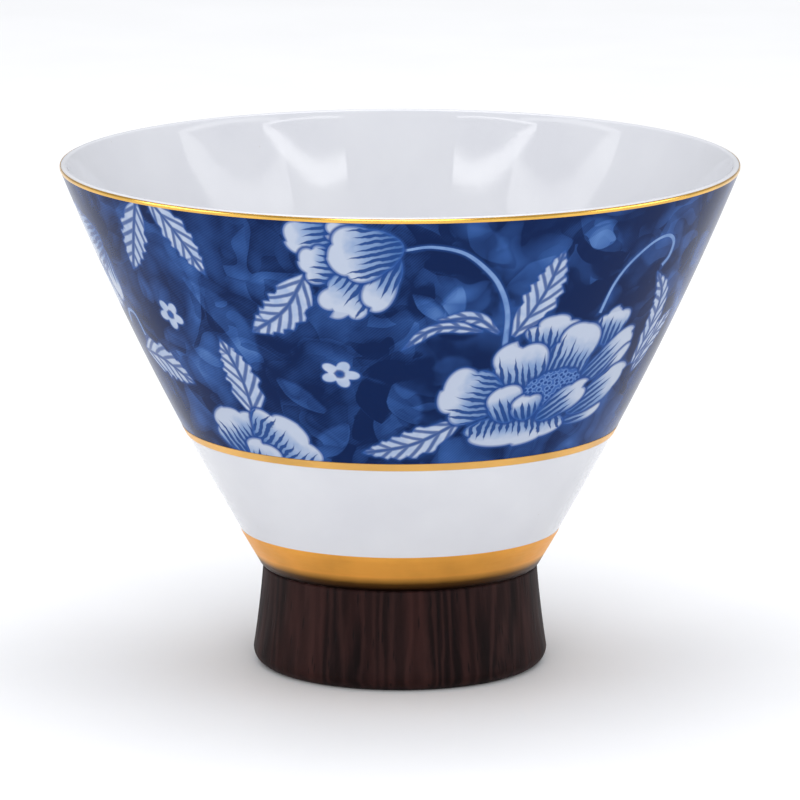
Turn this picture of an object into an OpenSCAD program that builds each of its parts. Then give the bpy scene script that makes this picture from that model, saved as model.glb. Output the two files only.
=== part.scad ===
// Porcelain tea cup on a turned wooden foot.
// A flared bowl with a printed floral band, three gilded lines and a foot ring
// that is bonded into a socket in the wood. Z is up, the origin is the centre of
// the underside that the cup stands on, and every size is in millimetres.

/* [Bowl] */
// Diameter over the lip
rim_d = 90; // [75:1:110]
// Height from the table to the lip
height = 67.8; // [55:0.1:82]
// Diameter at the bottom of the wall, where it rounds in to the wooden foot
base_d = 37.5; // [31:0.1:46]
// How far the wall bows out from a straight cone, half way up
wall_bow = 1.2; // [0:0.1:2.5]
// Wall thickness at the lip
lip_t = 0.9; // [0.8:0.1:2.4]
// Wall thickness at the floor
wall_base_t = 2.4; // [1.8:0.1:3.2]
// Floor thickness
floor_t = 3.2; // [2.4:0.1:5]
// Radius between the floor and the wall, inside
floor_r = 9; // [5:0.5:12]
// Radius of the corner between the wall and the underside
corner_r = 1.2; // [0.6:0.1:1.6]

/* [Foot ring] */
// Width of the unglazed ring under the bowl
ring_w = 3; // [2:0.1:4]
// Height of the ring
ring_h = 3; // [2:0.1:4.5]
// Chamfer on the ring's lower edges
ring_chamfer = 0.5; // [0.2:0.1:0.8]

/* [Wooden foot] */
// Height of the wooden foot
foot_h = 13.4; // [11:0.1:18]
// How far the top of the wood sits in from the bottom of the wall
foot_inset = 0.4; // [0.2:0.05:1]
// How far the wood flares out from top to bottom
foot_flare = 1.3; // [0:0.05:3]
// How far the side hollows in from a straight taper
foot_hollow = 0.1; // [0:0.05:0.5]
// Radius of the top edge
foot_top_edge = 0.4; // [0.2:0.1:1]
// Radius of the bottom edge
foot_bottom_edge = 2; // [0.8:0.1:2.4]
// Wood left round the socket at the top
socket_wall = 3.6; // [2:0.1:5]
// Width of the ring of wood that stands on the table, its rounded edge included
rest_w = 5.6; // [4:0.1:7]
// Depth of the recess turned in the underside
recess_h = 2.2; // [1.4:0.1:3]
// Radius in the corner of that recess
recess_r = 1.2; // [0.4:0.1:1.3]

/* [Bond] */
// Glue gap around the ring
glue_gap = 0.4; // [0.2:0.05:0.8]
// Glue thickness under the ring
glue_t = 0.5; // [0.2:0.05:0.8]

/* [Print and gilding] */
// Thickness of the printed and gilded films
film_t = 0.1; // [0.06:0.01:0.2]
// Width of the gilded line below the lip's rounding
lip_line_w = 0.1; // [0.1:0.05:1.5]
// Height of the gilded band above the wood
band_h = 5.2; // [2:0.1:7]
// Height of the plain white zone above that band
plain_h = 13.2; // [8:0.1:18]
// Height of the waist line above the white zone
waist_w = 1; // [0.6:0.05:2]

/* [Hidden] */
$fn = 160;

wall_step = 3;       // longest straight stretch in a curved wall
small_step = 15;     // degrees between the points of a small radius
lip_gilt_steps = 4;  // steps that the gilding climbs round the lip
corner_gilt_steps = 2;  // steps of the corner that the gilding leaves bare

// Radii and levels of the bowl, the ring, the wood and the glue.
rim_r = rim_d / 2;
base_r = base_d / 2;
foot_top_r = base_r - foot_inset;
foot_bottom_r = foot_top_r + foot_flare;
rest_r = foot_bottom_r - rest_w;
socket_r = foot_top_r - socket_wall;
ring_r = socket_r - glue_gap;
ring_in_r = ring_r - ring_w;
ring_bottom = foot_h - ring_h;
socket_floor = ring_bottom - glue_t;
floor_z = foot_h + floor_t;

// How far the wall leans out from upright at its two ends.
chord_slope = (rim_r - base_r) / (height - foot_h);
bow_slope = 4 * wall_bow / (height - foot_h);
lip_lean = atan(chord_slope - bow_slope);
base_lean = atan(chord_slope + bow_slope);

// Centres of the lip's rounding and of the corner's, and the wall's ends on them.
lip_r = lip_t / 2;
lip_centre = [rim_r - lip_r, height - lip_r];
wall_top = lip_centre + lip_r * [cos(lip_lean), -sin(lip_lean)];
wall_bottom = [base_r, foot_h + corner_r * (1 - sin(base_lean))];
corner_centre = wall_bottom - corner_r * [cos(base_lean), -sin(base_lean)];

// Outside of the wall: a cone with a bow, as a radius at each height.
wall_rise = wall_top.y - wall_bottom.y;
wall_spread = wall_top.x - wall_bottom.x;
function share(z) = (z - wall_bottom.y) / wall_rise;
function wall_r(z) = wall_bottom.x + wall_spread * share(z) + 4 * wall_bow * share(z) * (1 - share(z));
function wall_lean(z) = atan((wall_spread + 4 * wall_bow * (1 - 2 * share(z))) / wall_rise);
function wall_normal(z) = [cos(wall_lean(z)), -sin(wall_lean(z))];
function wall_t(z) = wall_base_t + (lip_t - wall_base_t) * share(z);
function inside_r(z) = wall_r(z) - wall_t(z) / cos(wall_lean(z));

// Heights from low to high that split a stretch of wall into short steps.
function stations(low, high) =
    let (n = max(1, ceil((high - low) / wall_step)))
    [for (i = [0:n]) low + (high - low) * i / n];
// Points of an arc from one angle to another, both ends included.
function arc(centre, r, from, to) =
    let (n = max(2, ceil(abs(to - from) / small_step)))
    [for (i = [0:n]) let (a = from + (to - from) * i / n) centre + r * [cos(a), sin(a)]];
// A list without its first items, a list's first items, and a list turned round.
function after(list, n) = [for (i = [n:1:len(list) - 1]) list[i]];
function first(list, n) = [for (i = [0:1:n - 1]) list[i]];
function reversed(list) = [for (i = [len(list) - 1:-1:0]) list[i]];

// The gilded and printed zones of the wall, from the corner up to the lip.
band_top_z = foot_h + band_h;
waist_z = band_top_z + plain_h;
print_z = waist_z + waist_w;
lip_line_z = wall_top.y - lip_line_w;
zones = [wall_bottom.y, band_top_z, waist_z, print_z, lip_line_z, wall_top.y];
outside_z = [zones[0], for (i = [1:len(zones) - 1]) each after(stations(zones[i - 1], zones[i]), 1)];
lip_points = arc(lip_centre, lip_r, -lip_lean, 180 - lip_lean);
corner_points = arc(corner_centre, corner_r, -90, -base_lean);

// Inside, the rounding between the floor and the wall meets the wall here.
floor_round_z = floor_z + floor_r * (1 - sin(base_lean));
floor_centre = [inside_r(floor_round_z) - floor_r * cos(base_lean), floor_z + floor_r];
inside_top_z = lip_centre.y + lip_r * sin(lip_lean);

module turned(outline) rotate_extrude() polygon(outline);

// A film on the outside of the bowl: its back lies on the surface's own points,
// and its face stands out from them along the surface's normals.
module film(points, normals) {
    face = [for (i = [0:len(points) - 1]) points[i] + film_t * normals[i]];
    turned(concat(points, reversed(face)));
}
function wall_points(heights) = [for (z = heights) [wall_r(z), z]];
function wall_normals(heights) = [for (z = heights) wall_normal(z)];
function round_normals(points, centre, r) = [for (p = points) (p - centre) / r];
module wall_film(low, high) film(wall_points(stations(low, high)), wall_normals(stations(low, high)));

// Bowl and foot ring, formed and fired as one piece of porcelain.
module porcelain_cup() color([0.90, 0.91, 0.93]) turned(concat(
    [[0, floor_z], [0, foot_h], [ring_in_r, foot_h], [ring_in_r, ring_bottom + ring_chamfer],
     [ring_in_r + ring_chamfer, ring_bottom], [ring_r - ring_chamfer, ring_bottom],
     [ring_r, ring_bottom + ring_chamfer], [ring_r, foot_h]],
    corner_points,
    after(wall_points(outside_z), 1),
    after(lip_points, 1),
    after(reversed([for (z = stations(floor_round_z, inside_top_z)) [inside_r(z), z]]), 1),
    after(arc(floor_centre, floor_r, -base_lean, -90), 1)
));

// Printed blue band, fired on between the waist line and the lip line.
module floral_transfer() color([0.13, 0.20, 0.42]) wall_film(print_z, lip_line_z);

// Gilded line on the outer edge of the lip.
module gilt_lip_line() color([0.85, 0.62, 0.22]) {
    heights = stations(lip_line_z, wall_top.y);
    turn = after(first(lip_points, lip_gilt_steps + 1), 1);
    film(concat(wall_points(heights), turn),
         concat(wall_normals(heights), round_normals(turn, lip_centre, lip_r)));
}

// Gilded line under the printed band.
module gilt_waist_line() color([0.86, 0.64, 0.34]) wall_film(waist_z, print_z);

// Gilded band at the bottom of the bowl, rounding in above the wood.
module gilt_foot_band() color([0.80, 0.55, 0.22]) {
    heights = after(stations(wall_bottom.y, band_top_z), 1);
    turn = after(corner_points, corner_gilt_steps);
    film(concat(turn, wall_points(heights)),
         concat(round_normals(turn, corner_centre, corner_r), wall_normals(heights)));
}

// Glue in the socket, under the ring and around it.
module glue_bed() color([0.72, 0.60, 0.40]) turned([
    [ring_in_r + ring_chamfer, ring_bottom], [ring_in_r + ring_chamfer, socket_floor],
    [socket_r, socket_floor], [socket_r, foot_h], [ring_r, foot_h],
    [ring_r, ring_bottom + ring_chamfer], [ring_r - ring_chamfer, ring_bottom]
]);

// Side of the wood from low to high: a taper, hollowed a little.
side_low = [foot_bottom_r, foot_bottom_edge];
side_high = [foot_top_r, foot_h - foot_top_edge];
foot_side = [for (z = stations(side_low.y, side_high.y))
    let (t = (z - side_low.y) / (side_high.y - side_low.y))
    [side_low.x + (side_high.x - side_low.x) * t - 4 * foot_hollow * t * (1 - t), z]];

// Turned wooden foot with a socket on top and a shallow recess below.
module wooden_foot() color([0.20, 0.12, 0.11]) turned(concat(
    [[0, socket_floor], [0, recess_h]],
    arc([rest_r - recess_r, recess_h - recess_r], recess_r, 90, 0),
    [[rest_r, 0]],
    arc(side_low - [foot_bottom_edge, 0], foot_bottom_edge, -90, 0),
    after(foot_side, 1),
    after(arc(side_high - [foot_top_edge, 0], foot_top_edge, 0, 90), 1),
    [[socket_r, foot_h], [socket_r, socket_floor]]
));

porcelain_cup();
floral_transfer();
gilt_lip_line();
gilt_waist_line();
gilt_foot_band();
glue_bed();
wooden_foot();
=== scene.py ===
import math
import random

import bpy
import numpy as np
from mathutils import Matrix, Vector
from mathutils.geometry import delaunay_2d_cdt


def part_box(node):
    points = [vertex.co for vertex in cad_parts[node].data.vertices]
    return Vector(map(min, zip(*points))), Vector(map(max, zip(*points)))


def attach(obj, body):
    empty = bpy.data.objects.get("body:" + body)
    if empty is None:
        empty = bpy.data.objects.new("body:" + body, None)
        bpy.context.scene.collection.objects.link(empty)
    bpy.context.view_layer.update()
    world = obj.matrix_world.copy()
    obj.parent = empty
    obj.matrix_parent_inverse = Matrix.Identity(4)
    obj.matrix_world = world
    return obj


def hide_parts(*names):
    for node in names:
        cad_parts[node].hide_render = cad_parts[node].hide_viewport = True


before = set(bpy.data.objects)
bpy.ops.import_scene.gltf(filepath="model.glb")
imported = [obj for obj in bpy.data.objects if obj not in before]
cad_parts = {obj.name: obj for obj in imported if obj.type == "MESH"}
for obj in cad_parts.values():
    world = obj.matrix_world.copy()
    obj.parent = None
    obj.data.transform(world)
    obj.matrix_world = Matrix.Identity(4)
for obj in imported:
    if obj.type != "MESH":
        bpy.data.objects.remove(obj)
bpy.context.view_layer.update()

MM = 0.001


# ---------------------------------------------------------------------------
# Wooden foot
# One billet of dark rosewood-like timber with its grain upright, turned on a
# lathe: a flared side, an eased top edge, a round bottom edge, a socket on top
# for the cup's ring and a shallow recess below. Sanded and oiled, no varnish.

foot_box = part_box("wooden_foot")
foot_h = foot_box[1].z
foot_r = foot_box[1].x
foot_flare = 1.3 * MM
foot_top_r = foot_r - foot_flare
foot_hollow = 0.1 * MM
foot_top_edge = 0.4 * MM
foot_bottom_edge = 2 * MM
rest_w = 5.6 * MM
recess_r = foot_r - rest_w
recess_h = 2.2 * MM
recess_fillet = 1.2 * MM
eased = 0.3 * MM  # small edges, broken with sandpaper
socket_eased = 0.2 * MM
socket_wall = 3.6 * MM
socket_depth = 3.5 * MM
socket_r = foot_top_r - socket_wall
socket_floor = foot_h - socket_depth


def arc(centre, radius, start, end, steps):
    """Points of a round stretch of an outline, in degrees from level, both ends included."""
    angles = [math.radians(start + (end - start) * i / steps) for i in range(steps + 1)]
    return [(centre[0] + radius * math.cos(a), centre[1] + radius * math.sin(a)) for a in angles]


def turn(name, outline, closed=False, steps=192):
    """Extrudes an outline of (radius, height) points and spins it into a turned piece."""
    bpy.ops.object.select_all(action="DESELECT")
    bpy.ops.mesh.primitive_plane_add(size=MM)
    piece = bpy.context.object
    piece.name = piece.data.name = name
    bpy.ops.object.mode_set(mode="EDIT")
    bpy.ops.mesh.select_all(action="SELECT")
    bpy.ops.mesh.merge(type="CENTER")
    points = [Vector((r, 0, z)) for r, z in outline + outline[:1] * closed]
    bpy.ops.transform.translate(value=points[0])
    for before, after in zip(points, points[1:]):
        bpy.ops.mesh.extrude_region_move(TRANSFORM_OT_translate={"value": after - before})
    bpy.ops.mesh.select_all(action="SELECT")
    bpy.ops.mesh.spin(steps=steps, angle=math.tau, center=(0, 0, 0), axis=(0, 0, 1))
    bpy.ops.mesh.select_all(action="SELECT")
    bpy.ops.mesh.remove_doubles(threshold=0.001 * MM)
    bpy.ops.mesh.normals_make_consistent(inside=False)
    bpy.ops.object.mode_set(mode="OBJECT")
    bpy.ops.object.shade_smooth_by_angle(angle=math.radians(50))
    return piece


foot_low = (foot_r, foot_bottom_edge)
foot_high = (foot_top_r, foot_h - foot_top_edge)
foot_side = [(foot_low[0] + (foot_high[0] - foot_low[0]) * t - 4 * foot_hollow * t * (1 - t),
              foot_low[1] + (foot_high[1] - foot_low[1]) * t) for t in (i / 12 for i in range(1, 12))]
foot_outline = (
    [(0, recess_h)]
    + arc((recess_r - recess_fillet, recess_h - recess_fillet), recess_fillet, 90, 0, 6)
    + arc((recess_r + eased, eased), eased, 180, 270, 3)
    + arc((foot_r - foot_bottom_edge, foot_bottom_edge), foot_bottom_edge, -90, 0, 10)
    + foot_side
    + arc((foot_top_r - foot_top_edge, foot_h - foot_top_edge), foot_top_edge, 0, 90, 6)
    + arc((socket_r + socket_eased, foot_h - socket_eased), socket_eased, 90, 180, 2)
    + [(socket_r, socket_floor), (0, socket_floor)]
)
wooden_foot = turn("turned_wooden_foot", foot_outline)


def new_finish(name):
    """A new material, with its node tree and its shader."""
    material = bpy.data.materials.new(name)
    material.use_nodes = True
    tree = material.node_tree
    return material, tree, tree.nodes["Principled BSDF"]


def add(tree, kind, at=(), **settings):
    """Adds a node; at holds (socket, value or output) pairs, settings are the node's own properties."""
    made = tree.nodes.new("ShaderNode" + kind)
    for key, value in settings.items():
        setattr(made, key, value)
    for socket, value in at:
        if isinstance(value, bpy.types.NodeSocket):
            tree.links.new(value, made.inputs[socket])
        else:
            made.inputs[socket].default_value = value
    return made


def sums(tree, operation, *values, clamp=False):
    """One math node over up to three values or outputs."""
    return add(tree, "Math", list(enumerate(values)), operation=operation, use_clamp=clamp).outputs[0]


def ramp(tree, value, *stops, smooth=False):
    """A colour ramp over (position, colour or grey) stops."""
    made = add(tree, "ValToRGB", [(0, value)])
    made.color_ramp.interpolation = "EASE" if smooth else "LINEAR"
    band = made.color_ramp.elements
    while len(band) < len(stops):
        band.new(1.0)
    for element, (position, colour) in zip(band, stops):
        element.position = position
        element.color = (colour, colour, colour, 1) if isinstance(colour, (int, float)) else (*colour, 1)
    return made.outputs[0]


def blend(tree, share, first, second, kind="MIX"):
    """Mixes two colours by a share."""
    made = add(tree, "Mix", data_type="RGBA", blend_type=kind)
    for socket, value in ((made.inputs[0], share), (made.inputs[6], first), (made.inputs[7], second)):
        if isinstance(value, bpy.types.NodeSocket):
            tree.links.new(value, socket)
        else:
            socket.default_value = value if isinstance(value, (int, float)) else (*value, 1)
    return made.outputs[2]


def shade(red, green, blue):
    """A colour as a paint chart gives it, 0 to 255, in the renderer's own scale."""
    return tuple((c / 255 / 12.92) if c < 11 else ((c / 255 + 0.055) / 1.055) ** 2.4
                 for c in (red, green, blue))


def dark_timber():
    """Oiled dark timber: upright grain and streaks, with fine long pores."""
    material, tree, shader = new_finish("oiled_dark_timber")
    place = add(tree, "TexCoord").outputs["Object"]
    upright = add(tree, "Mapping", [(0, place), ("Scale", (1, 1, 0.045))]).outputs[0]
    wander = add(tree, "TexNoise", [(0, upright), ("Scale", 160), ("Detail", 3)]).outputs["Color"]
    bent = blend(tree, 0.0035, upright, wander, "LINEAR_LIGHT")
    rings = add(tree, "TexWave", [(0, bent), ("Scale", 190), ("Distortion", 5), ("Detail", 4),
                                  ("Detail Scale", 1.4), ("Detail Roughness", 0.65)],
                bands_direction="X").outputs["Fac"]
    streaks = add(tree, "TexNoise", [(0, upright), ("Scale", 900), ("Detail", 5),
                                     ("Roughness", 0.62)]).outputs["Fac"]
    broad = add(tree, "TexNoise", [(0, upright), ("Scale", 210), ("Detail", 2)]).outputs["Fac"]
    tone = sums(tree, "MULTIPLY_ADD", rings, 0.45, sums(tree, "MULTIPLY", streaks, 0.55))
    body = ramp(tree, tone, (0.22, shade(17, 9, 9)), (0.45, shade(27, 15, 15)),
                (0.62, shade(36, 21, 20)), (0.85, shade(47, 28, 26)))
    red = ramp(tree, broad, (0.42, 0.0), (0.66, 0.75))
    body = blend(tree, red, body, blend(tree, 0.5, body, shade(62, 34, 31)))
    long_cells = add(tree, "Mapping", [(0, place), ("Scale", (1, 1, 0.11))]).outputs[0]
    pores = add(tree, "TexVoronoi", [(0, long_cells), ("Scale", 1500)]).outputs["Distance"]
    hole = ramp(tree, pores, (0.1, 1.0), (0.26, 0.0))
    body = blend(tree, sums(tree, "MULTIPLY", hole, 0.7), body, shade(17, 11, 12))
    tree.links.new(body, shader.inputs["Base Color"])
    rough = ramp(tree, streaks, (0.3, 0.62), (0.7, 0.48))
    tree.links.new(rough, shader.inputs["Roughness"])
    height = sums(tree, "SUBTRACT", sums(tree, "MULTIPLY", streaks, 0.6), hole)
    bump = add(tree, "Bump", [("Height", height), ("Strength", 0.35), ("Distance", 0.00006)])
    tree.links.new(bump.outputs[0], shader.inputs["Normal"])
    shader.inputs["Specular IOR Level"].default_value = 0.06
    return material


wooden_foot.data.materials.append(dark_timber())
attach(wooden_foot, "root")
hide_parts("wooden_foot")


# ---------------------------------------------------------------------------
# Glue bed
# A cloudy amber adhesive that fills the gap under and round the cup's ring. It
# crept up when the cup was pressed home, and set a little below the wood's top.

glue_low, glue_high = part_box("glue_bed")
glue_gap = 0.4 * MM
ring_w = 3 * MM
ring_h = 3 * MM
ring_r = socket_r - glue_gap
ring_in_r = ring_r - ring_w
ring_low = foot_h - ring_h
chamfer = 0.5 * MM
bulge = (ring_in_r + 0.9 * chamfer, ring_low - 0.6 * (ring_low - glue_low.z))
meniscus = [(glue_high.x, foot_h - 0.5 * MM), ((glue_high.x + ring_r) / 2, foot_h - 0.62 * MM),
            (ring_r, foot_h - 0.45 * MM)]
glue_outline = (
    [(ring_in_r + chamfer, ring_low), bulge, (ring_in_r + chamfer, glue_low.z), (glue_high.x, glue_low.z)]
    + meniscus
    + [(ring_r, ring_low + chamfer), (ring_r - chamfer, ring_low)]
)
glue_bed = turn("cured_glue_bed", glue_outline, closed=True, steps=128)


def amber_glue():
    """Set adhesive, cloudy amber with small bubbles."""
    material, tree, shader = new_finish("cured_amber_glue")
    place = add(tree, "TexCoord").outputs["Object"]
    cloud = add(tree, "TexNoise", [(0, place), ("Scale", 700), ("Detail", 4)]).outputs["Fac"]
    tree.links.new(ramp(tree, cloud, (0.3, shade(150, 112, 62)), (0.7, shade(196, 160, 104))),
                   shader.inputs["Base Color"])
    tree.links.new(ramp(tree, cloud, (0.3, 0.22), (0.7, 0.38)), shader.inputs["Roughness"])
    bubbles = add(tree, "TexVoronoi", [(0, place), ("Scale", 2600)]).outputs["Distance"]
    bump = add(tree, "Bump", [("Height", bubbles), ("Strength", 0.3), ("Distance", 0.00005)])
    tree.links.new(bump.outputs[0], shader.inputs["Normal"])
    return material


glue_bed.data.materials.append(amber_glue())
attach(glue_bed, "root")
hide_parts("glue_bed")


# ---------------------------------------------------------------------------
# Porcelain cup
# Bowl and foot ring in one piece of white porcelain, jiggered thin, fettled and
# fired under a clear glaze. The ring's lower face is left bare for the glue.

cup_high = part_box("porcelain_cup")[1]
height = cup_high.z
rim_r = cup_high.x
foot_inset = 0.4 * MM
base_r = foot_top_r + foot_inset
wall_bow = 1.2 * MM
lip_r = 0.45 * MM
corner_r = 1.2 * MM
floor_t = 3.2 * MM
floor_r = 9 * MM
wall_base_t = 2.4 * MM
lip_t = 2 * lip_r

chord_slope = (rim_r - base_r) / (height - foot_h)
bow_slope = 4 * wall_bow / (height - foot_h)
lip_lean = math.atan(chord_slope - bow_slope)
base_lean = math.atan(chord_slope + bow_slope)
lip_centre = (rim_r - lip_r, height - lip_r)
wall_top = (lip_centre[0] + lip_r * math.cos(lip_lean), lip_centre[1] - lip_r * math.sin(lip_lean))
wall_foot = (base_r, foot_h + corner_r * (1 - math.sin(base_lean)))
corner_centre = (base_r - corner_r * math.cos(base_lean), wall_foot[1] + corner_r * math.sin(base_lean))


def wall(z):
    """The outside of the bowl at a height: its radius, and how far it leans out, in radians."""
    t = (z - wall_foot[1]) / (wall_top[1] - wall_foot[1])
    spread = wall_top[0] - wall_foot[0]
    radius = wall_foot[0] + spread * t + 4 * wall_bow * t * (1 - t)
    slope = (spread + 4 * wall_bow * (1 - 2 * t)) / (wall_top[1] - wall_foot[1])
    return radius, math.atan(slope)


def proud(z, thickness):
    """A point that stands out from the wall by a thickness."""
    radius, lean = wall(z)
    return radius + thickness * math.cos(lean), z - thickness * math.sin(lean)


def inside(z):
    """The inside of the bowl at a height."""
    radius, lean = wall(z)
    t = (z - wall_foot[1]) / (wall_top[1] - wall_foot[1])
    return radius - (wall_base_t + (lip_t - wall_base_t) * t) / math.cos(lean), z


def levels(low, high, steps):
    """Heights in equal steps, both ends included."""
    return [low + (high - low) * i / steps for i in range(steps + 1)]


lean_deg, foot_deg = math.degrees(lip_lean), math.degrees(base_lean)
floor_z = foot_h + floor_t
round_z = floor_z + floor_r * (1 - math.sin(base_lean))
round_centre = (inside(round_z)[0] - floor_r * math.cos(base_lean), floor_z + floor_r)
inside_top = lip_centre[1] + lip_r * math.sin(lip_lean)
cup_outline = (
    [(0, foot_h), (ring_in_r, foot_h), (ring_in_r, ring_low + chamfer),
     (ring_in_r + chamfer, ring_low), (ring_r - chamfer, ring_low), (ring_r, ring_low + chamfer),
     (ring_r, foot_h)]
    + arc(corner_centre, corner_r, -90, -foot_deg, 8)
    + [(wall(z)[0], z) for z in levels(wall_foot[1], wall_top[1], 44)[1:]]
    + arc(lip_centre, lip_r, -lean_deg, 180 - lean_deg, 16)[1:]
    + [inside(z) for z in reversed(levels(round_z, inside_top, 40)[:-1])]
    + arc(round_centre, floor_r, -foot_deg, -90, 12)[1:]
    + [(0, floor_z)]
)
cup = turn("porcelain_bowl", cup_outline)


def glazed(tree, shader, place, roughness, rippled):
    """The clear glaze that all fired surfaces share: glossy, with a very slight ripple."""
    ripple = add(tree, "TexNoise", [(0, place), ("Scale", 55), ("Detail", 2)]).outputs["Fac"]
    orange_peel = add(tree, "TexNoise", [(0, place), ("Scale", 650), ("Detail", 1)]).outputs["Fac"]
    height = sums(tree, "MULTIPLY_ADD", orange_peel, 0.06, ripple)
    bump = add(tree, "Bump", [("Height", height), ("Strength", rippled), ("Distance", 0.0003)])
    tree.links.new(bump.outputs[0], shader.inputs["Normal"])
    shader.inputs["Roughness"].default_value = roughness
    shader.inputs["IOR"].default_value = 1.5


def white_porcelain():
    """White porcelain under clear glaze, with a faint cloud and a few iron specks."""
    material, tree, shader = new_finish("glazed_white_porcelain")
    place = add(tree, "TexCoord").outputs["Object"]
    cloud = add(tree, "TexNoise", [(0, place), ("Scale", 90), ("Detail", 4)]).outputs["Fac"]
    body = ramp(tree, cloud, (0.3, shade(203, 204, 209)), (0.7, shade(209, 210, 214)))
    specks = add(tree, "TexVoronoi", [(0, place), ("Scale", 260)]).outputs["Distance"]
    speck = ramp(tree, specks, (0.018, 0.35), (0.035, 0.0))
    body = blend(tree, speck, body, shade(176, 168, 158))
    tree.links.new(body, shader.inputs["Base Color"])
    glazed(tree, shader, place, 0.04, 0.05)
    return material


cup.data.materials.append(white_porcelain())
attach(cup, "root")
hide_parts("porcelain_cup")


# ---------------------------------------------------------------------------
# Gilded foot band
# Liquid bright gold, brushed on while the cup turns on a banding wheel and fired
# on top of the glaze. It rounds in under the bowl and stops short of the wood. Its
# colour darkens towards the wood with painted shade, for the wood's dark reflection
# and the shadow in the crease.

film = 0.1 * MM  # room that the frame leaves for each fired film
film_back = 0.1 * film
film_face = 0.9 * film
band_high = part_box("gilt_foot_band")[1]
bare_from = -60  # degrees round the corner, where the gold stops above the wood
band_levels = levels(wall_foot[1], band_high.z + film * math.sin(base_lean), 10)
band_outline = (
    arc(corner_centre, corner_r + film_back, bare_from, -foot_deg, 6)
    + [proud(z, film_back) for z in band_levels[1:]]
    + [proud(z, film_face) for z in reversed(band_levels[1:-1])]
    + arc(corner_centre, corner_r + film_face, -foot_deg, bare_from, 6)
)
foot_band = turn("gilded_foot_band", band_outline, closed=True)


def fired_gold(name, base, low, high, shade_from=None):
    """Fired gold: low and high bound its roughness. Given a height above the wood as the last argument, its
    colour darkens below that height with painted shade, for the wood's dark reflection and shadow.
    """
    material, tree, shader = new_finish(name)
    place = add(tree, "TexCoord").outputs["Object"]
    strokes = add(tree, "Mapping", [(0, place), ("Scale", (1, 1, 9))]).outputs[0]
    brush = add(tree, "TexNoise", [(0, strokes), ("Scale", 420), ("Detail", 5)]).outputs["Fac"]
    patch = add(tree, "TexNoise", [(0, place), ("Scale", 130), ("Detail", 3)]).outputs["Fac"]
    tone = blend(tree, ramp(tree, patch, (0.35, 0.0), (0.7, 1.0)), base, tuple(c * 0.82 for c in base))
    # Painted shade: the gold darkens towards the wood, where the wood's dark reflection and the crease's
    # shadow fall.
    if shade_from:
        rise = add(tree, "SeparateXYZ", [(0, place)]).outputs[2]
        above_wood = sums(tree, "DIVIDE", sums(tree, "SUBTRACT", rise, foot_h), shade_from)
        above_wood = sums(tree, "MULTIPLY_ADD", sums(tree, "SUBTRACT", brush, 0.5), 0.12, above_wood)
        # This share is painted shade, not thinner gold: darkest next to the wood, none from the given
        # height up.
        thin = ramp(tree, above_wood, (0.2, 1.0), (0.5, 0.9), (0.76, 0.4), (1.0, 0.0))
        tone = blend(tree, thin, tone, shade(44, 24, 12))
    tree.links.new(tone, shader.inputs["Base Color"])
    tree.links.new(ramp(tree, brush, (0.3, low), (0.72, high)), shader.inputs["Roughness"])
    bump = add(tree, "Bump", [("Height", brush), ("Strength", 0.25), ("Distance", 0.00004)])
    tree.links.new(bump.outputs[0], shader.inputs["Normal"])
    shader.inputs["Metallic"].default_value = 1
    return material


# The last argument is the height above the wood within which painted shade darkens the band.
foot_band.data.materials.append(fired_gold("satin_gilding", shade(247, 176, 80), 0.36, 0.5, 2.2 * MM))
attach(foot_band, "root")
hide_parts("gilt_foot_band")


# ---------------------------------------------------------------------------
# Gilded waist line
# The same liquid gold, laid in a single turn of the banding brush and fired with
# the foot band. It closes the lower edge of the print.

waist_low, waist_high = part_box("gilt_waist_line")
waist_edge = waist_low.z + 0.05 * MM
waist_levels = levels(waist_edge, waist_high.z, 4)
waist_outline = (
    [proud(z, film_back) for z in waist_levels]
    + [proud(z, film_face) for z in reversed(waist_levels)]
)
waist_line = turn("gilded_waist_line", waist_outline, closed=True, steps=256)
waist_line.data.materials.append(fired_gold("banded_gilding", shade(239, 186, 104), 0.32, 0.46))
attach(waist_line, "root")
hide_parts("gilt_waist_line")


# ---------------------------------------------------------------------------
# Printed floral band
# A cobalt ceramic transfer of peonies and leaves on a washed dark ground, laid on
# the glazed wall and fired in. It is one thin film, and every petal, leaf and stem
# is an area of that film with its own brushwork, so it is cut from a flat drawing.

print_bottom = waist_high.z + film * math.sin(lip_lean)
lip_line_w = 0.1 * MM
print_top = wall_top[1] - lip_line_w
drawn_z = np.linspace(print_bottom, print_top, 200)
drawn_r = np.array([wall(z)[0] for z in drawn_z])
drawn_down = np.concatenate([[0], np.cumsum(np.hypot(np.diff(drawn_r), np.diff(drawn_z)))])
slant = drawn_down[-1] / MM  # the film's height along the wall, in mm as the whole drawing is
drawn_down = slant - drawn_down / MM
opening = (drawn_r[-1] - drawn_r[0]) / MM / slant  # how much of a turn the film takes when laid flat
reach_top = drawn_r[-1] / MM / opening  # from the flat film's apex to its upper edge
half_turn = math.pi * opening
apex = np.array((0.0, reach_top))


def turned_by(points, degrees):
    """Drawing points carried round the bowl; x is right and y down from the film's upper edge, in mm."""
    a = math.radians(degrees) * opening
    x, y = (np.asarray(points, float) - apex).T
    return np.stack((x * math.cos(a) - y * math.sin(a), x * math.sin(a) + y * math.cos(a)), 1) + apex


vein_pitch = 2.2  # mm between a leaf's side veins
vein_slant = 1.35  # how far a side vein runs forward for each mm that it runs out
stroke_pitch = 0.95  # mm between the brush strokes at a petal's widest


def smooth_line(points, steps=14):
    """A flowing line through a few points, as a brush draws it."""
    points = np.array(points, float)
    p = np.concatenate(([2 * points[0] - points[1]], points, [2 * points[-1] - points[-2]]))
    t = np.arange(steps)[:, None] / steps
    runs = []
    for a, b, c, d in zip(p, p[1:], p[2:], p[3:]):
        bend = (2 * a - 5 * b + 4 * c - d) * t ** 2 + (3 * b - a - 3 * c + d) * t ** 3
        runs.append(0.5 * (2 * b + (c - a) * t + bend))
    return np.concatenate(runs + [p[-2:-1]])


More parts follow.
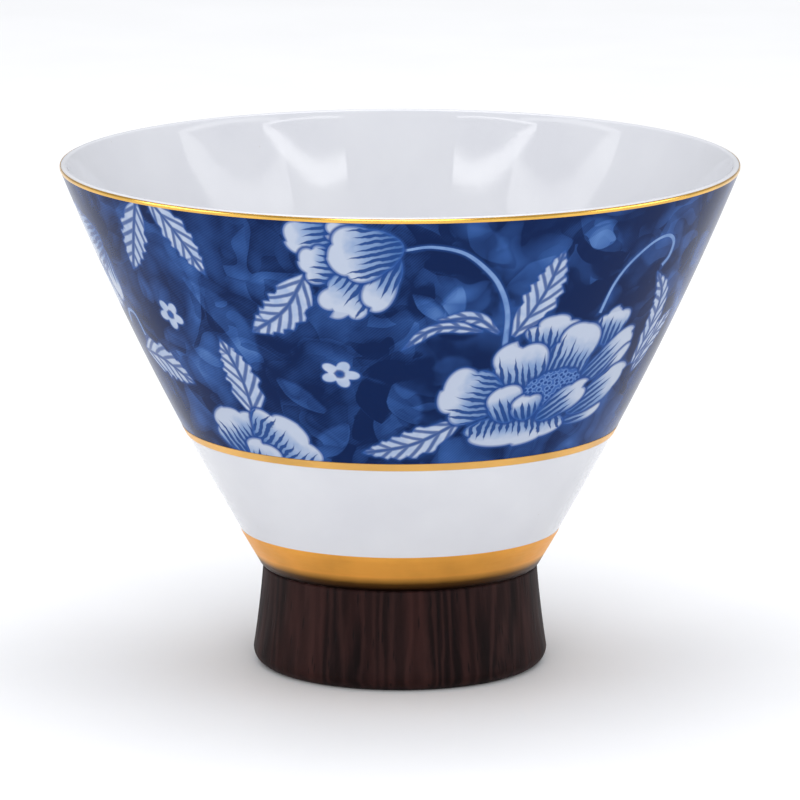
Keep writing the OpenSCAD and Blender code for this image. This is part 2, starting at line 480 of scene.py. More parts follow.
def petal(base, tip, width, lobes=3, depth=0.27, taper=0.3):
    """A petal that fans out from its base to a scalloped rim."""
    base, tip = np.array(base, float), np.array(tip, float)
    length = np.hypot(*(tip - base))
    along = (tip - base) / length
    across = np.array((along[1], -along[0]))
    phi = np.linspace(0, math.tau, 120, endpoint=False)
    crown = np.clip(np.cos(phi) + 0.55, 0, 1) ** 0.6
    bumps = np.abs(np.cos(phi * (lobes + 0.5 * math.sin(base[0] * 7)) / 2 + 0.4 * np.sin(phi + base[1])))
    scallop = 1 - depth * crown * (1 - bumps ** 0.7)
    u = 0.5 * width * np.sin(phi) * (1 + taper * np.cos(phi)) * scallop
    v = length * (0.5 + 0.5 * np.cos(phi) * scallop)
    return {"kind": "petal", "edge": base + u[:, None] * across + v[:, None] * along,
            "tone": width / stroke_pitch, "frame": (base, across * 2 / width, along / length)}


def blade(points, widths, kind="leaf", notch=0.0, tone=1.0):
    """A leaf, stem or tendril along a flowing line; widths run from its foot to its tip."""
    line = smooth_line(points)
    step = np.hypot(*np.diff(line, axis=0).T)
    run = np.concatenate([[0], np.cumsum(step)])
    heading = np.gradient(line, axis=0)
    heading /= np.hypot(*heading.T)[:, None]
    half = 0.5 * np.interp(run / run[-1], np.linspace(0, 1, len(widths)), widths)
    tooth = ((run - vein_slant * half) / vein_pitch + 0.5) % 1.0
    half = np.maximum(half * (1 - notch * (0.5 + 0.5 * np.cos(math.tau * tooth ** 0.7))), 0.02)
    side = np.stack((heading[:, 1], -heading[:, 0]), 1) * half[:, None]
    return {"kind": kind, "edge": np.concatenate((line + side, (line - side)[::-1])), "tone": tone,
            "line": line, "run": run}


def leaf(foot, tip, width, bend=0.0, notch=0.26, kind="leaf", tone=1.0):
    """A leaf from its foot to its tip, bent a little to one side."""
    foot, tip = np.array(foot, float), np.array(tip, float)
    middle = (foot + tip) / 2 + bend * np.array((tip[1] - foot[1], foot[0] - tip[0]))
    swell = [0.12, 0.55, 0.9, 1.0, 0.95, 0.78, 0.5, 0.03]
    return blade([foot, middle, tip], [width * s for s in swell], kind, notch * (kind == "leaf"), tone)


def disc(centre, across, down, kind="seed", lobes=0, depth=0.3, tone=1.0):
    """A seed head, a small flower or a dot."""
    phi = np.linspace(0, math.tau, 60, endpoint=False)
    r = 1 - depth * (1 - np.abs(np.cos(phi * lobes / 2))) if lobes else np.ones(60)
    centre = np.array(centre, float)
    return {"kind": kind, "edge": centre + np.stack((across * r * np.cos(phi), down * r * np.sin(phi)), 1),
            "tone": tone, "frame": (centre, np.array((1 / across, 0.0)), np.array((0.0, 1 / down)))}


# The peony that faces out: back petals, the seed head, then the front petals over it.
open_peony = [
    petal((28.6, 26), (30.9, 20.2), 6, lobes=4), petal((19.8, 23.5), (20.7, 17.3), 8, lobes=5),
    petal((24.5, 30.5), (34.4, 26.2), 4.8, lobes=1), petal((26.5, 32.8), (33.9, 28.6), 2.2, lobes=1),
    petal((22, 36), (29.5, 37.2), 2.6, lobes=1), petal((23, 34.8), (34, 33), 5.4, lobes=2),
    petal((21, 29.6), (25.6, 20.4), 8.2, lobes=3), petal((15.8, 30), (15.3, 19.8), 8.4, lobes=3),
    petal((13.6, 29), (5, 26), 9.4, lobes=4), disc((20.2, 29.3), 4.7, 2.9, lobes=11, depth=0.1),
    petal((15.9, 31.6), (14.9, 37.3), 15, lobes=5, depth=0.14, taper=0.12),
    petal((14.4, 33), (13, 26.8), 5.6, lobes=2), petal((16.8, 33.4), (16.4, 28.9), 4.8, lobes=3),
    petal((18.2, 33.9), (26.6, 30.9), 4.6, lobes=3),
]
# The peony that is seen from the side, under the lip: its globe comes last.
side_peony = [
    petal((-8, 2), (-15, 4.3), 6, lobes=3), petal((-6.8, 7), (-13.2, 6.9), 6, lobes=4),
    petal((-3.4, 6.6), (-9, 14.8), 6.8, lobes=4), petal((-0.2, 5), (-3.9, 13.4), 4.4, lobes=2),
    petal((-4.2, 1), (-9.6, 2.4), 4.4, lobes=4), petal((0.5, 3.3), (-9.4, 5.8), 8.4, lobes=5, depth=0.16),
]
# Half a flower that the waist line cuts.
low_peony = [
    petal((-19.8, 41), (-25.2, 34.8), 9.4, lobes=4), petal((-18, 40.5), (-13.4, 33), 11, lobes=5),
    petal((-18.6, 44), (-19, 37.6), 6, lobes=1),
]
hanging_leaf = leaf((-12.1, 8.8), (-19.4, 19.7), 6.2, 0.08)
leaves = [
    leaf((7.8, 31.2), (-4.8, 36.1), 5, 0.06), leaf((14.6, 19), (21.7, 7.4), 5.8, -0.05),
    hanging_leaf, leaf((-37.6, 6.4), (-39.6, 19.3), 5.4),
    leaf((-35.6, 4.4), (-26.2, 13), 5.3, 0.04), leaf((-19.7, 34), (-24.4, 22.8), 6, -0.06),
    leaf((-41.2, 35.5), (-29.8, 33.4), 6, 0.1), leaf((35.6, 35.2), (44, 29.8), 4.4, 0.08),
    blade([(35.4, 33.6), (38.4, 28.4), (39.4, 23.4), (37.6, 18.4)], (1.2, 3.8, 4.2, 2.8, 0.1),
          notch=0.22),
]
curls = [
    blade([(12.7, 18), (9.6, 15.1), (4.8, 15)], (0.5, 1.9, 2.2, 0.7), "leaf"),
    blade([(10.6, 17.3), (6.8, 16.1), (3.6, 16.5), (0.2, 19.3)], (0.3, 1.7, 1.5, 1.6, 0.1), "leaf"),
]
stems = [
    blade([(0.5, 4), (4, 3.6), (8, 4.8), (10.9, 7.6), (12.8, 10.8), (13.8, 15), (13.5, 20.4)],
          (0.35, 0.5, 0.68, 0.8), "stem"),
    blade([(27.4, 19.8), (29.5, 16), (32.2, 13.7), (36, 12.5), (39, 13), (40.4, 14.9), (39.8, 17),
           (38.4, 17.8)], (0.5, 0.45, 0.45, 0.7), "stem"),
    blade([(-44.5, 33), (-44.1, 30.4), (-42, 29.5), (-40.2, 32)], (0.4, 0.6, 0.5), "stem"),
]
florets = [disc((-32.8, 23), 2.4, 2.3, "bloom", 5, 0.42), disc((-32.8, 23), 0.42, 0.42, tone=0.0),
           disc((-7.7, 23.6), 2.7, 2.2, "bloom", 5, 0.42), disc((-7.7, 23.6), 0.45, 0.38, tone=0.0)]
pale_marks = [
    leaf((5.4, 16.4), (7.7, 9.4), 3.8, kind="wash"), leaf((1.6, 10.6), (6.6, 15.6), 2.6, kind="wash"),
    leaf((8.6, 0.6), (14.6, 7.6), 4.4, kind="wash", tone=0.8),
    leaf((-16.4, 26), (-9, 30.4), 3.4, kind="wash"), leaf((-11, 38), (-6.6, 31.2), 4.2, kind="wash"),
    leaf((-0.8, 24.6), (2.6, 31.4), 4.8, kind="wash"), leaf((24, 3), (31, 11), 4.6, kind="wash", tone=0.8),
    leaf((-30, 15), (-18, 27), 5, 0.15, kind="wash", tone=0.85),
]


def moved(shapes, degrees, shift=(0, 0)):
    """The same shapes drawn again further round the bowl."""
    def carried(points):
        return turned_by(np.atleast_2d(points) + shift, degrees)

    made = []
    for shape in shapes:
        copy = dict(shape, edge=carried(shape["edge"]))
        if "line" in shape:
            copy["line"] = carried(shape["line"])
        else:
            base, *axes = shape["frame"]
            copy["frame"] = (carried(base)[0], *(carried(base + a)[0] - carried(base)[0] for a in axes))
        made.append(copy)
    return made


# Faint leaf shadows that the painter washed in before the flowers, light and dark.
random.seed(11)
shadows = []
for shadow in range(64):
    middle = np.array((random.uniform(-62, 62), random.uniform(1, 36)))
    heading = random.uniform(0, math.tau)
    long = random.uniform(4, 9)
    tip = middle + long * np.array((math.cos(heading), math.sin(heading)))
    shadows.append(leaf(middle, tip, long * random.uniform(0.4, 0.75), random.uniform(-0.2, 0.2),
                        kind="wash", tone=random.choice((0.15, 0.35, 0.6, 0.85))))
repeat = shadows + pale_marks + stems + leaves + curls + florets + low_peony + side_peony + open_peony
# A side-view peony with one leaf fills the gap on each flank of the bowl.
flank = moved(side_peony + [hanging_leaf], 100, (8, 4))
# The whole drawing comes twice round the bowl, and once more over each end of the film.
drawing = [shape for turn_by in (0, 180, -180, 360, -360) for shape in moved(repeat + flank, turn_by)]


def polar(points):
    """The angle round the flat film's apex, and the depth below its upper edge, of drawing points."""
    away = np.asarray(points, float) - apex
    return np.arctan2(away[:, 0], -away[:, 1]), reach_top - np.hypot(*away.T)


def on_drawing(turn_angle, down):
    """Drawing points at an angle round the flat film's apex and a depth below its upper edge."""
    reach = reach_top - np.asarray(down)
    return np.stack((reach * np.sin(turn_angle), reach_top - reach * np.cos(turn_angle)), -1)


# The film's own outline and a loose net of points that keeps it round, then every shape's outline.
columns = np.linspace(-half_turn, half_turn, 145)
rim = [on_drawing(columns, 0), on_drawing(columns[::-1], slant)]
sheet_points = [np.concatenate(rim)]
net_rows = np.linspace(0, slant, 14)
sheet_points += [on_drawing(columns[1:-1], down) for down in net_rows[1:-1]]
sheet_points += [on_drawing(np.full(12, side), net_rows[1:-1]) for side in (-half_turn, half_turn)]
count = len(sheet_points[0])
total = sum(len(p) for p in sheet_points)
edges = [(i, (i + 1) % count) for i in range(count)]
areas = [list(range(count))]
kept_shapes = []
for shape in drawing:
    edge = shape["edge"]
    angle, down = polar(edge)
    if angle.min() > half_turn or angle.max() < -half_turn or down.min() > slant or down.max() < 0:
        continue
    if np.ptp(angle) > math.pi / 2:
        continue
    x, y = edge.T
    if (x * np.roll(y, -1) - y * np.roll(x, -1)).sum() < 0:
        edge = shape["edge"] = edge[::-1]
    kept_shapes.append(shape)
    areas.append(list(range(total, total + len(edge))))
    sheet_points.append(edge)
    total += len(edge)
    if shape["kind"] in ("petal", "leaf", "bloom", "wash"):
        tangent = np.roll(edge, -1, 0) - np.roll(edge, 1, 0)
        tangent /= np.maximum(np.hypot(*tangent.T), 1e-9)[:, None]
        inward = np.stack((-tangent[:, 1], tangent[:, 0]), 1)
        insets = ((0.9, 4),) if shape["kind"] == "wash" else ((0.35, 2), (-0.5, 3))
        for inset, every in insets:
            ring = (edge + inward * inset)[::every]
            sheet_points.append(ring)
            total += len(ring)
cut = delaunay_2d_cdt([Vector(p) for p in np.concatenate(sheet_points)], edges, areas, 0, 1e-5, True)
flat = np.array([tuple(p) for p in cut[0]])
triangles, owners = [], []
for corners, inputs in zip(cut[2], cut[5]):
    if 0 in inputs:
        triangles.append(corners)
        owners.append(max(inputs))
triangles, owners = np.array(triangles)[:, ::-1], np.array(owners)


def distance(points, line, closed):
    """How far points lie from a line, with the nearest stretch and the share along it."""
    start = line
    end = np.roll(line, -1, 0) if closed else line[1:]
    start = start[:len(end)]
    run = end - start
    length = np.maximum((run ** 2).sum(1), 1e-12)
    away = points[:, None, :] - start[None]
    t = np.clip((away * run).sum(2) / length, 0, 1)
    gap = np.hypot(*np.moveaxis(away - t[..., None] * run, 2, 0))
    nearest = gap.argmin(1)
    rows = np.arange(len(points))
    return gap[rows, nearest], nearest, t[rows, nearest]


def covered(points, edge):
    """Which points a closed outline surrounds."""
    a, b = edge, np.roll(edge, -1, 0)
    x, y = points[:, 0, None], points[:, 1, None]
    crosses = (a[:, 1] > y) != (b[:, 1] > y)
    with np.errstate(divide="ignore", invalid="ignore"):
        at = (b[:, 0] - a[:, 0]) * (y - a[:, 1]) / (b[:, 1] - a[:, 1]) + a[:, 0]
    return (crosses & (x < at)).sum(1) % 2 == 1


# For every corner: where it is within its own shape, how deep, and how near a shape lies on top of it.
fade = 1.2  # mm beyond which an edge no longer shows
above = np.full(len(flat), fade)
motif = np.zeros((len(triangles), 3, 2))
edge_map = np.full((len(triangles), 3, 2), fade)
tones = np.ones(len(triangles))
for number in range(len(kept_shapes), 0, -1):
    shape = kept_shapes[number - 1]
    low, high = shape["edge"].min(0) - fade, shape["edge"].max(0) + fade
    near = np.where(((flat > low) & (flat < high)).all(1))[0]
    if not len(near):
        continue
    gap = distance(flat[near], shape["edge"], True)[0]
    within = covered(flat[near], shape["edge"])
    faces = np.where(owners == number)[0]
    if len(faces):
        lookup = np.full(len(flat), -1)
        lookup[near] = np.arange(len(near))
        where = lookup[triangles[faces]]
        corners = flat[triangles[faces]]
        edge_map[faces, :, 0] = np.minimum(gap[where], fade) * (within | (gap < 1e-3))[where]
        edge_map[faces, :, 1] = above[triangles[faces]]
        tones[faces] = shape["tone"]
        if "line" in shape:
            points = corners.reshape(-1, 2)
            stretch, t = distance(points, shape["line"], False)[1:]
            start, end = shape["line"][stretch], shape["line"][stretch + 1]
            run = end - start
            side = run[:, 0] * (points - start)[:, 1] - run[:, 1] * (points - start)[:, 0]
            across = side / np.maximum(np.hypot(*run.T), 1e-9)
            along = shape["run"][stretch] + t * (shape["run"][stretch + 1] - shape["run"][stretch])
            motif[faces] = np.stack((across, along), 1).reshape(-1, 3, 2)
        else:
            base, right, up = shape["frame"]
            motif[faces] = np.stack(((corners - base) @ right, (corners - base) @ up), -1)
    if shape["kind"] != "wash":
        above[near] = np.minimum(above[near], np.where(within, 0, gap))
ground = np.where(owners == 0)[0]
edge_map[ground, :, 1] = above[triangles[ground]]

angle, down = polar(flat)
level = np.interp(np.clip(down, 0, slant), drawn_down[::-1], drawn_z[::-1])
around = angle / opening
lean = np.array([wall(z)[1] for z in level])
radius = np.array([wall(z)[0] for z in level])
out = np.stack((np.cos(lean) * np.sin(around), -np.cos(lean) * np.cos(around), -np.sin(lean)), 1)
surface = np.stack((radius * np.sin(around), -radius * np.cos(around), level), 1)
turn_share = (around / math.tau + 0.5) * 3

mesh = bpy.data.meshes.new("printed_floral_band")
print_back = 0.15 * film
print_face = 0.55 * film
mesh.from_pydata((surface + print_face * out).tolist(), [], triangles.tolist())
band = bpy.data.objects.new("printed_floral_band", mesh)
bpy.context.scene.collection.objects.link(band)
slots = ("ground", "wash", "petal", "leaf", "bloom", "stem", "seed")
kind_of = np.array([0] + [slots.index(s["kind"]) for s in kept_shapes])
mesh.polygons.foreach_set("material_index", kind_of[owners])
row = np.clip(np.floor(turn_share[triangles].mean(1)), 0, 2)[:, None]
third = np.stack((0.01 + 0.98 * (turn_share[triangles] - row),
                  (row + 0.02 + 0.96 * down[triangles] / slant) / 3), -1)
for name, values in (("Motif", motif), ("Edge", edge_map), ("Sheet", flat[triangles]), ("OFBake", third)):
    mesh.uv_layers.new(name=name).data.foreach_set("uv", values.astype(np.float32).ravel())
mesh.attributes.new("Tone", "FLOAT", "FACE").data.foreach_set("value", tones.astype(np.float32))

bpy.ops.object.select_all(action="DESELECT")
band.select_set(True)
bpy.context.view_layer.objects.active = band
bpy.ops.object.mode_set(mode="EDIT")
bpy.ops.mesh.select_all(action="SELECT")
bpy.ops.mesh.remove_doubles(threshold=0.002 * MM)
bpy.ops.object.mode_set(mode="OBJECT")
bpy.ops.object.modifier_add(type="SOLIDIFY")
band.modifiers["Solidify"].thickness = print_face - print_back
band.modifiers["Solidify"].offset = -1
band.modifiers["Solidify"].use_rim = True
bpy.ops.object.modifier_apply(modifier="Solidify")


def wall_facing(mesh):
    """Each corner's normal as the smooth wall has it, outwards on the face and inwards on the back."""
    co = np.zeros(len(mesh.vertices) * 3)
    mesh.vertices.foreach_get("co", co)
    co = co.reshape(-1, 3)
    lean = np.array([wall(z)[1] for z in co[:, 2]])
    reach = np.hypot(co[:, 0], co[:, 1])
    normal = np.stack((np.cos(lean) * co[:, 0] / reach, np.cos(lean) * co[:, 1] / reach, -np.sin(lean)), 1)
    face_normal = np.zeros(len(mesh.polygons) * 3)
    mesh.polygons.foreach_get("normal", face_normal)
    corner_vertex = np.zeros(len(mesh.loops), int)
    mesh.loops.foreach_get("vertex_index", corner_vertex)
    sizes = np.zeros(len(mesh.polygons), int)
    mesh.polygons.foreach_get("loop_total", sizes)
    facing = np.repeat(face_normal.reshape(-1, 3), sizes, axis=0)
    smooth = normal[corner_vertex]
    agree = (facing * smooth).sum(1)
    return np.where(np.abs(agree)[:, None] > 0.5, smooth * np.sign(agree)[:, None], facing)


mesh.polygons.foreach_set("use_smooth", np.ones(len(mesh.polygons), bool))
mesh.normals_split_custom_set(wall_facing(mesh).tolist())


def print_glaze(tree, shader, place):
    """Fired cobalt under a thin flux: a soft gloss that hazes the dark ground only a little."""
    glazed(tree, shader, place, 0.2, 0.2)
    shader.inputs["Specular IOR Level"].default_value = 0.05


def cobalt_wash(tree, place):
    """The washed ground: broad pools of cobalt with soft brush marks on them."""
    drift = add(tree, "TexNoise", [(0, place), ("Scale", 120), ("Detail", 1)]).outputs["Color"]
    bent = blend(tree, 0.009, place, drift, "LINEAR_LIGHT")
    marks = add(tree, "TexVoronoi", [(0, bent), ("Scale", 125)])
    small = add(tree, "TexVoronoi", [(0, bent), ("Scale", 230)]).outputs["Color"]
    mark = blend(tree, 0.4, marks.outputs["Color"], small)
    mark = add(tree, "SeparateColor", [(0, mark)]).outputs[0]
    faded = sums(tree, "SUBTRACT", 1.0, marks.outputs["Distance"])
    broad = add(tree, "TexNoise", [(0, place), ("Scale", 95), ("Detail", 3)]).outputs["Fac"]
    pool = sums(tree, "MULTIPLY", broad, 0.44)
    tone = sums(tree, "MULTIPLY_ADD", sums(tree, "MULTIPLY", mark, faded), 0.66, pool)
    fine = add(tree, "TexNoise", [(0, place), ("Scale", 420), ("Detail", 3)]).outputs["Fac"]
    return sums(tree, "MULTIPLY_ADD", fine, 0.16, tone)


def hatched(tree, tone):
    """A fine slanted screen, as the transfer's printing leaves it."""
    sheet = add(tree, "UVMap", uv_map="Sheet").outputs[0]
    screen = add(tree, "TexWave", [(0, sheet), ("Scale", 1.4), ("Distortion", 0.6)],
                 bands_direction="DIAGONAL").outputs["Fac"]
    return sums(tree, "MULTIPLY_ADD", screen, 0.06, tone)


navy = shade(11, 31, 72)
deep_blue = shade(30, 57, 108)
mid_blue = shade(46, 80, 139)
clear_blue = shade(84, 120, 176)


def edge_channels(tree):
    """How deep a place lies in its own shape, and how near a shape lies on top of it, in mm."""
    edge = add(tree, "SeparateXYZ", [(0, add(tree, "UVMap", uv_map="Edge").outputs[0])])
    return edge.outputs[0], edge.outputs[1]


def ground_blue(tree, place, lift):
    """The ground's colour: lift is how much paler a washed shadow makes it."""
    over = edge_channels(tree)[1]
    tone = hatched(tree, sums(tree, "ADD", cobalt_wash(tree, place), lift))
    blue = ramp(tree, tone, (0.4, navy), (0.56, deep_blue), (0.73, mid_blue), (1.0, clear_blue))
    halo = ramp(tree, over, (0.0, 1.0), (0.15, 0.55), (0.4, 0.0))
    return blend(tree, sums(tree, "MULTIPLY", halo, 0.7), blue, shade(40, 74, 136))


def print_ground():
    """The washed cobalt ground between the flowers."""
    material, tree, shader = new_finish("cobalt_ground")
    place = add(tree, "TexCoord").outputs["Object"]
    tree.links.new(ground_blue(tree, place, 0.0), shader.inputs["Base Color"])
    print_glaze(tree, shader, place)
    return material


def print_wash():
    """A leaf shadow in the ground, firm on one side and fading out on the other."""
    material, tree, shader = new_finish("cobalt_leaf_shadow")
    place = add(tree, "TexCoord").outputs["Object"]
    own = edge_channels(tree)[0]
    tone = add(tree, "Attribute", attribute_name="Tone").outputs["Fac"]
    side = add(tree, "SeparateXYZ", [(0, add(tree, "UVMap", uv_map="Motif").outputs[0])]).outputs[0]
    firm = ramp(tree, own, (0.0, 0.0), (0.12, 1.0))
    soft = ramp(tree, own, (0.0, 0.0), (0.9, 1.0), smooth=True)
    soft = blend(tree, sums(tree, "MULTIPLY_ADD", side, 0.6, 0.5, clamp=True), soft, firm)
    lift = sums(tree, "MULTIPLY", soft, sums(tree, "MULTIPLY_ADD", tone, 0.4, -0.2))
    tree.links.new(ground_blue(tree, place, lift), shader.inputs["Base Color"])
    print_glaze(tree, shader, place)
    return material


def inked(tree, colour, own, over, line=0.4):
    """A shape's outline, and the thin shadow under a shape that lies on it."""
    rim = ramp(tree, own, (0.0, 1.0), (line * 0.5, 0.6), (line, 0.0))
    colour = blend(tree, sums(tree, "MULTIPLY", rim, 0.9), colour, shade(46, 82, 146))
    below = ramp(tree, over, (0.0, 1.0), (0.18, 0.9), (0.46, 0.0))
    return blend(tree, sums(tree, "MULTIPLY", below, 0.95), colour, shade(34, 66, 128))


def print_petal():
    """A petal: pale at the rim, with dark strokes that fan out from its base."""
    material, tree, shader = new_finish("painted_petal")
    place = add(tree, "TexCoord").outputs["Object"]
    own, over = edge_channels(tree)
    motif = add(tree, "SeparateXYZ", [(0, add(tree, "UVMap", uv_map="Motif").outputs[0])])
    u, v = motif.outputs[0], motif.outputs[1]
    wobble = add(tree, "TexNoise", [(0, place), ("Scale", 520), ("Detail", 2)]).outputs["Fac"]
    fan = sums(tree, "ARCTAN2", u, sums(tree, "ADD", v, 2.6))
    fan = sums(tree, "MULTIPLY_ADD", sums(tree, "SUBTRACT", wobble, 0.5), 0.07, fan)
    strokes = add(tree, "Attribute", attribute_name="Tone").outputs["Fac"]
    stripe = sums(tree, "MULTIPLY", sums(tree, "MULTIPLY", fan, strokes), 1.55)
    part = sums(tree, "ABSOLUTE", sums(tree, "SUBTRACT", sums(tree, "FRACT", stripe), 0.5))
    which = sums(tree, "FLOOR", stripe)
    uneven = add(tree, "TexWhiteNoise", [("W", which)], noise_dimensions="1D").outputs[0]
    stop = sums(tree, "MULTIPLY_ADD", uneven, 0.26, 0.62)
    fading = sums(tree, "SUBTRACT", stop, v)
    width = sums(tree, "MULTIPLY", ramp(tree, fading, (0.0, 0.0), (0.24, 0.8), (0.6, 1.0)), 0.4)
    line = ramp(tree, sums(tree, "SUBTRACT", width, part), (0.0, 0.0), (0.12, 1.0))
    body = ramp(tree, sums(tree, "MULTIPLY_ADD", wobble, 0.35, v),
                (0.3, shade(68, 103, 157)), (0.66, shade(122, 146, 184)), (0.92, shade(174, 183, 200)))
    body = blend(tree, sums(tree, "MULTIPLY", line, 0.95), body, shade(30, 63, 122))
    tree.links.new(inked(tree, body, own, over), shader.inputs["Base Color"])
    print_glaze(tree, shader, place)
    return material


def print_leaf():
    """A pale leaf with a dark rib and slanted side veins."""
    material, tree, shader = new_finish("painted_leaf")
    place = add(tree, "TexCoord").outputs["Object"]
    own, over = edge_channels(tree)
    motif = add(tree, "SeparateXYZ", [(0, add(tree, "UVMap", uv_map="Motif").outputs[0])])
    across, along = sums(tree, "ABSOLUTE", motif.outputs[0]), motif.outputs[1]
    wobble = add(tree, "TexNoise", [(0, place), ("Scale", 600), ("Detail", 2)]).outputs["Fac"]
    vein = sums(tree, "SUBTRACT", along, sums(tree, "MULTIPLY", across, vein_slant))
    vein = sums(tree, "MULTIPLY_ADD", wobble, 0.12, sums(tree, "DIVIDE", vein, vein_pitch))
    part = sums(tree, "ABSOLUTE", sums(tree, "SUBTRACT", sums(tree, "FRACT", vein), 0.5))
    lines = ramp(tree, part, (0.0, 1.0), (0.13, 0.95), (0.27, 0.0))
    rib = ramp(tree, across, (0.0, 1.0), (0.2, 0.9), (0.4, 0.0))
    drawn = sums(tree, "MAXIMUM", sums(tree, "MULTIPLY", lines, 0.9), rib)
    body = ramp(tree, wobble, (0.3, shade(148, 165, 195)), (0.7, shade(174, 184, 202)))
    body = blend(tree, sums(tree, "MULTIPLY", drawn, 0.94), body, shade(34, 68, 128))
    tree.links.new(inked(tree, body, own, over, 0.26), shader.inputs["Base Color"])
    print_glaze(tree, shader, place)
    return material


def print_bloom():
    """A small pale flower, with no strokes in it."""
    material, tree, shader = new_finish("painted_bloom")
    place = add(tree, "TexCoord").outputs["Object"]
    own, over = edge_channels(tree)
    wobble = add(tree, "TexNoise", [(0, place), ("Scale", 380), ("Detail", 2)]).outputs["Fac"]
    body = ramp(tree, wobble, (0.3, shade(148, 166, 194)), (0.7, shade(172, 182, 201)))
    tree.links.new(inked(tree, body, own, over, 0.2), shader.inputs["Base Color"])
    print_glaze(tree, shader, place)
    return material


def print_stem():
    """A thin stem or tendril, darker along both sides."""
    material, tree, shader = new_finish("painted_stem")
    place = add(tree, "TexCoord").outputs["Object"]
    over = edge_channels(tree)[1]
    wobble = add(tree, "TexNoise", [(0, place), ("Scale", 500), ("Detail", 2)]).outputs["Fac"]
    motif = add(tree, "SeparateXYZ", [(0, add(tree, "UVMap", uv_map="Motif").outputs[0])])
    across = sums(tree, "ABSOLUTE", motif.outputs[0])
    body = ramp(tree, wobble, (0.3, shade(92, 124, 176)), (0.7, shade(118, 146, 190)))
    body = blend(tree, ramp(tree, across, (0.16, 0.0), (0.42, 0.7)), body, shade(52, 88, 150))
    tree.links.new(inked(tree, body, 1.0, over, 0.06), shader.inputs["Base Color"])
    print_glaze(tree, shader, place)
    return material


def print_seed():
    """A seed head with a net of dots, or a plain dark dot where Tone is 0."""
    material, tree, shader = new_finish("painted_seed_head")
    place = add(tree, "TexCoord").outputs["Object"]
    own, over = edge_channels(tree)
    dots = add(tree, "TexVoronoi", [(0, add(tree, "UVMap", uv_map="Sheet").outputs[0]), ("Scale", 1.25),
                                    ("Randomness", 0.7)], voronoi_dimensions="2D").outputs["Distance"]
    body = ramp(tree, dots, (0.12, shade(30, 58, 118)), (0.3, shade(52, 86, 148)),
                (0.42, shade(100, 132, 184)), (0.6, shade(58, 92, 154)))
    tone = add(tree, "Attribute", attribute_name="Tone").outputs["Fac"]
    body = blend(tree, tone, shade(34, 64, 124), body)
    tree.links.new(inked(tree, body, own, over, 0.2), shader.inputs["Base Color"])
    print_glaze(tree, shader, place)
    return material


for make in (print_ground, print_wash, print_petal, print_leaf, print_bloom, print_stem, print_seed):
    mesh.materials.append(make())
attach(band, "root")
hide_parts("floral_transfer")


# ---------------------------------------------------------------------------
# Gilded lip line
# Gold brushed on the outer edge of the lip and burnished with agate, so that it
# is the brightest of the three.

lip_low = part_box("gilt_lip_line")[0]
lip_levels = levels(lip_low.z + film * math.sin(lip_lean), wall_top[1], 3)
lip_end = 32  # degrees round the lip, where the gold ends on top
lip_face = 0.82 * film
lip_outline = (
    [proud(z, film_back) for z in lip_levels]
    + arc(lip_centre, lip_r + film_back, -lean_deg, lip_end, 10)[1:]
    + arc(lip_centre, lip_r + lip_face, lip_end, -lean_deg, 10)
    + [proud(z, lip_face) for z in reversed(lip_levels[:-1])]
)
lip_line = turn("gilded_lip_line", lip_outline, closed=True, steps=256)
lip_line.data.materials.append(fired_gold("burnished_gilding", shade(238, 188, 92), 0.14, 0.26))
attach(lip_line, "root")
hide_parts("gilt_lip_line")


# ---------------------------------------------------------------------------
# Table, light and camera
# A pale seamless table, a broad soft light overhead, a low one on each side and
# one in front, four thin strips that glint inside the lip, and a long lens a
# little above the lip.

bpy.ops.object.select_all(action="DESELECT")
bpy.ops.mesh.primitive_plane_add(size=8)
table = bpy.context.object
table.name = "pale_table"
material, tree, shader = new_finish("pale_table_top")
place = add(tree, "TexCoord").outputs["Object"]
grain = add(tree, "TexNoise", [(0, place), ("Scale", 30), ("Detail", 4)]).outputs["Fac"]
tree.links.new(ramp(tree, grain, (0.3, 0.87), (0.7, 0.89)), shader.inputs["Base Color"])
shader.inputs["Roughness"].default_value = 0.7
shader.inputs["Specular IOR Level"].default_value = 0.1
table.data.materials.append(material)

cup_middle = (0, 0, 0.035)


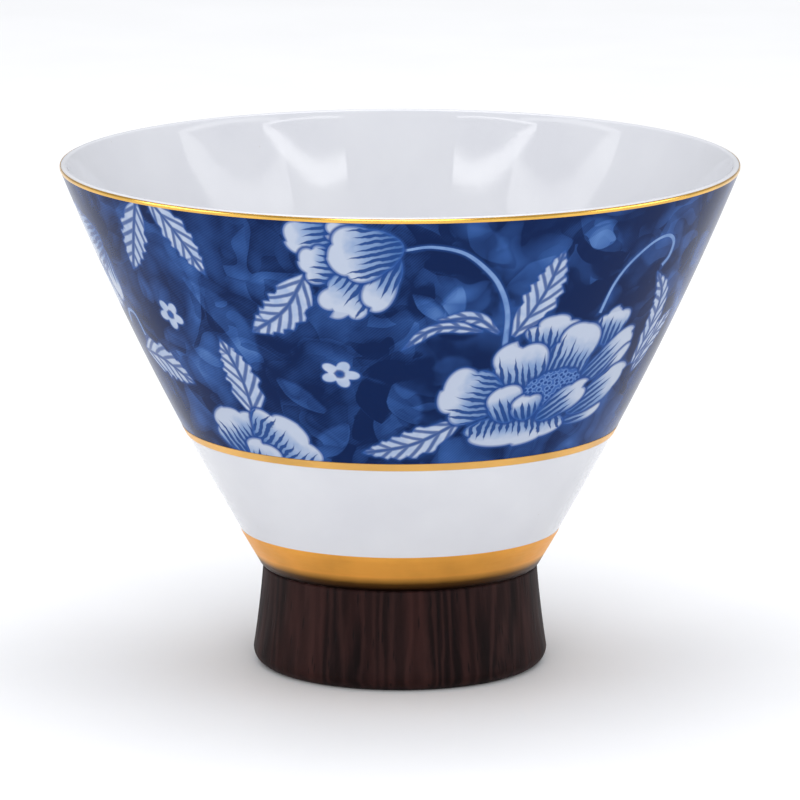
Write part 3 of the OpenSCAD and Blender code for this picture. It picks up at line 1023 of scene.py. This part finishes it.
def softbox(name, place, towards, width, tall, power):
    """A flat rectangular light at a place, turned towards another."""
    bpy.ops.object.light_add(type="AREA", location=place)
    lamp = bpy.context.object
    lamp.name = name
    lamp.data.shape = "RECTANGLE"
    lamp.data.size = width
    lamp.data.size_y = tall
    lamp.data.energy = power
    lamp.rotation_euler = (Vector(towards) - Vector(place)).to_track_quat("-Z", "Y").to_euler()


def strip(name, start, end, tall, power):
    """A thin strip light between two places, facing the bowl; its glint shows inside the lip."""
    along = Vector(end) - Vector(start)
    centre = Vector(start) + along / 2
    softbox(name, centre, cup_middle, along.length, tall, power)
    back = (centre - Vector(cup_middle)).normalized()
    along = (along - along.dot(back) * back).normalized()
    bpy.context.object.rotation_euler = Matrix((along, back.cross(along), back)).transposed().to_euler()


softbox("overhead_softbox", (0, 0.1, 1.3), cup_middle, 1.2, 1.2, 13)
softbox("left_softbox", (-1.1, -0.25, 0.17), cup_middle, 0.7, 0.3, 2.6)
softbox("right_softbox", (1.1, -0.1, 0.17), cup_middle, 0.7, 0.3, 2.3)
softbox("front_softbox", (0, -1.7, 0.75), cup_middle, 1.4, 0.8, 14)
for hand, side in (("left", -1), ("right", 1)):
    strip(hand + "_front_strip", (0.87 * side, -0.58, 0.78), (0.39 * side, -0.89, 0.88), 0.016, 0.12)
    strip(hand + "_side_strip", (1.05 * side, 0.05, 0.58), (0.71 * side, -0.6, 0.77), 0.028, 0.12)
world = bpy.data.worlds.new("studio_air")
bpy.context.scene.world = world
world.use_nodes = True
world.node_tree.nodes["Background"].inputs[0].default_value = (0.93, 0.95, 1.0, 1)
world.node_tree.nodes["Background"].inputs[1].default_value = 0.55

lens_height = math.radians(11.3)  # above the level of the point it looks at
lip_share = 0.4215  # half the lip's width as a share of the frame's
reach = 20 * rim_r
aim_below_lip = 0.719 * rim_r
aim = Vector((0, 0, height - aim_below_lip))
bpy.ops.object.camera_add(location=aim + reach * Vector((0, -math.cos(lens_height), math.sin(lens_height))))
camera = bpy.context.object
camera.rotation_euler = (aim - camera.location).to_track_quat("-Z", "Y").to_euler()
camera.data.sensor_width = 36
camera.data.lens = camera.data.sensor_width * reach / rim_r * lip_share
camera.data.clip_end = 20
bpy.context.scene.camera = camera
bpy.context.scene.view_settings.view_transform = "Standard"
